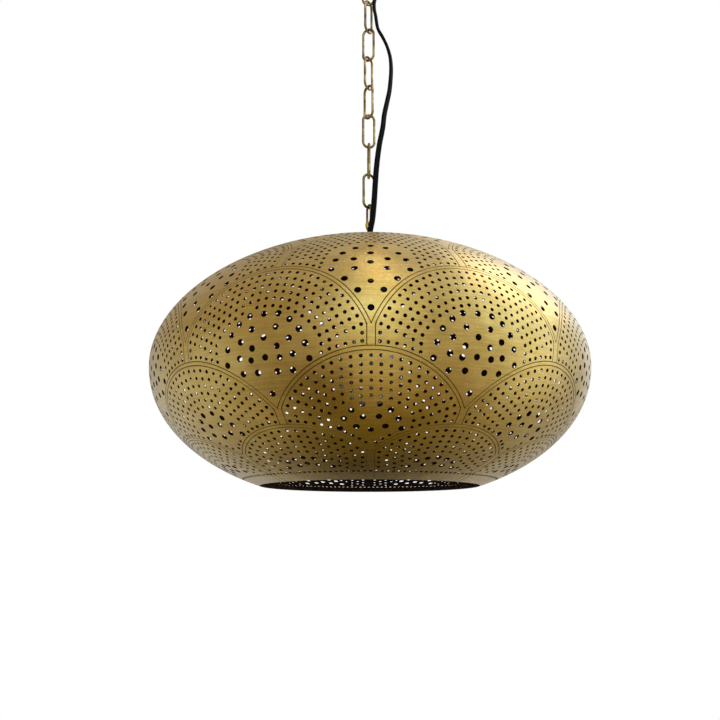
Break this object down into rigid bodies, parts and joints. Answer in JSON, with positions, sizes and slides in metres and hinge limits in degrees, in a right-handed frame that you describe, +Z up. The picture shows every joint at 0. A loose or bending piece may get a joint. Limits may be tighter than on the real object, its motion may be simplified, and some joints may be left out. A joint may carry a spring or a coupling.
{
  "type": "hanging lantern",
  "caption": "Flattened-globe pendant lantern of pierced brass with scale pattern, hung on an oval-link chain with a flat cord and a ceiling canopy.",
  "frame": {"origin": "middle of the crossbar top face, where it meets the ceiling; the lantern hangs below it", "axes": "+Z up along the chain; -Y is the front, the side the picture shows; +X is to its right, where the cord bows out"},
  "size_m": [0.3992, 0.3992, 0.585],
  "materials": {
    "aged_brass": "satin, antiqued",
    "dark_brass": "satin, antiqued darker",
    "bright_brass": "plain",
    "zinc_steel": "zinc plated",
    "cord_black": "satin",
    "black_plastic": "satin",
    "white_plastic": "gloss",
    "clear_glass": "clear",
    "filament": "phosphor coat"
  },
  "bodies": {
    "ceiling": {"crossbar": "zinc_steel", "ceiling_eye": "dark_brass", "lock_nut": "zinc_steel", "canopy": "aged_brass", "canopy_nut": "dark_brass", "cord_bush": "black_plastic", "cord_bush_nut": "black_plastic", "terminal_block": "white_plastic", "block_screw_1": "bright_brass", "block_screw_2": "bright_brass", "power_cord_1": "cord_black"},
    "top_link": {"chain_link_1": "dark_brass", "power_cord_2": "cord_black"},
    "chain": {"chain_link_2": "dark_brass", "chain_link_3": "dark_brass", "chain_link_4": "dark_brass", "chain_link_5": "dark_brass", "chain_link_6": "dark_brass", "chain_link_7": "dark_brass", "chain_link_8": "dark_brass", "power_cord_3": "cord_black"},
    "connector": {"connecting_link": "dark_brass", "power_cord_4": "cord_black"},
    "lantern": {"shade": "aged_brass", "shade_loop": "aged_brass", "outer_washer": "aged_brass", "inner_washer": "zinc_steel", "inner_nut": "zinc_steel", "threaded_tube": "bright_brass", "holder_cap": "aged_brass", "holder_body": "black_plastic", "holder_ring": "black_plastic", "holder_insert": "white_plastic", "holder_screw_1": "bright_brass", "holder_screw_2": "bright_brass", "centre_contact": "bright_brass", "screw_shell": "bright_brass", "power_cord_5": "cord_black"},
    "bulb": {"bulb_cap": "bright_brass", "bulb_contact": "zinc_steel", "bulb_glass": "clear_glass", "bulb_stem": "clear_glass", "filament_1": "filament", "filament_2": "filament", "filament_3": "filament", "filament_4": "filament"}
  },
  "joints": [
    {"name": "hook_swing", "type": "hinge", "parent": "ceiling", "child": "top_link", "pos_m": [0, 0, -0.0558], "axis": [0, 1, 0], "range_deg": [-25, 25], "deforming": ["power_cord_1"]},
    {"name": "chain_swing", "type": "hinge", "parent": "top_link", "child": "chain", "pos_m": [0, 0, -0.088], "axis": [1, 0, 0], "range_deg": [-20, 20], "deforming": ["power_cord_2"]},
    {"name": "connector_swing", "type": "hinge", "parent": "chain", "child": "connector", "pos_m": [0, 0, -0.3134], "axis": [0.9063, 0.4226, 0], "range_deg": [-15, 15], "deforming": ["power_cord_4"]},
    {"name": "lantern_rock", "type": "hinge", "parent": "connector", "child": "lantern", "pos_m": [0, 0, -0.3311], "axis": [0.4226, -0.9063, 0], "range_deg": [-12, 12], "deforming": ["power_cord_5"]},
    {"name": "bulb_turn", "type": "hinge", "parent": "lantern", "child": "bulb", "pos_m": [0, 0, -0.48], "axis": [0, 0, 1], "continuous": true}
  ]
}
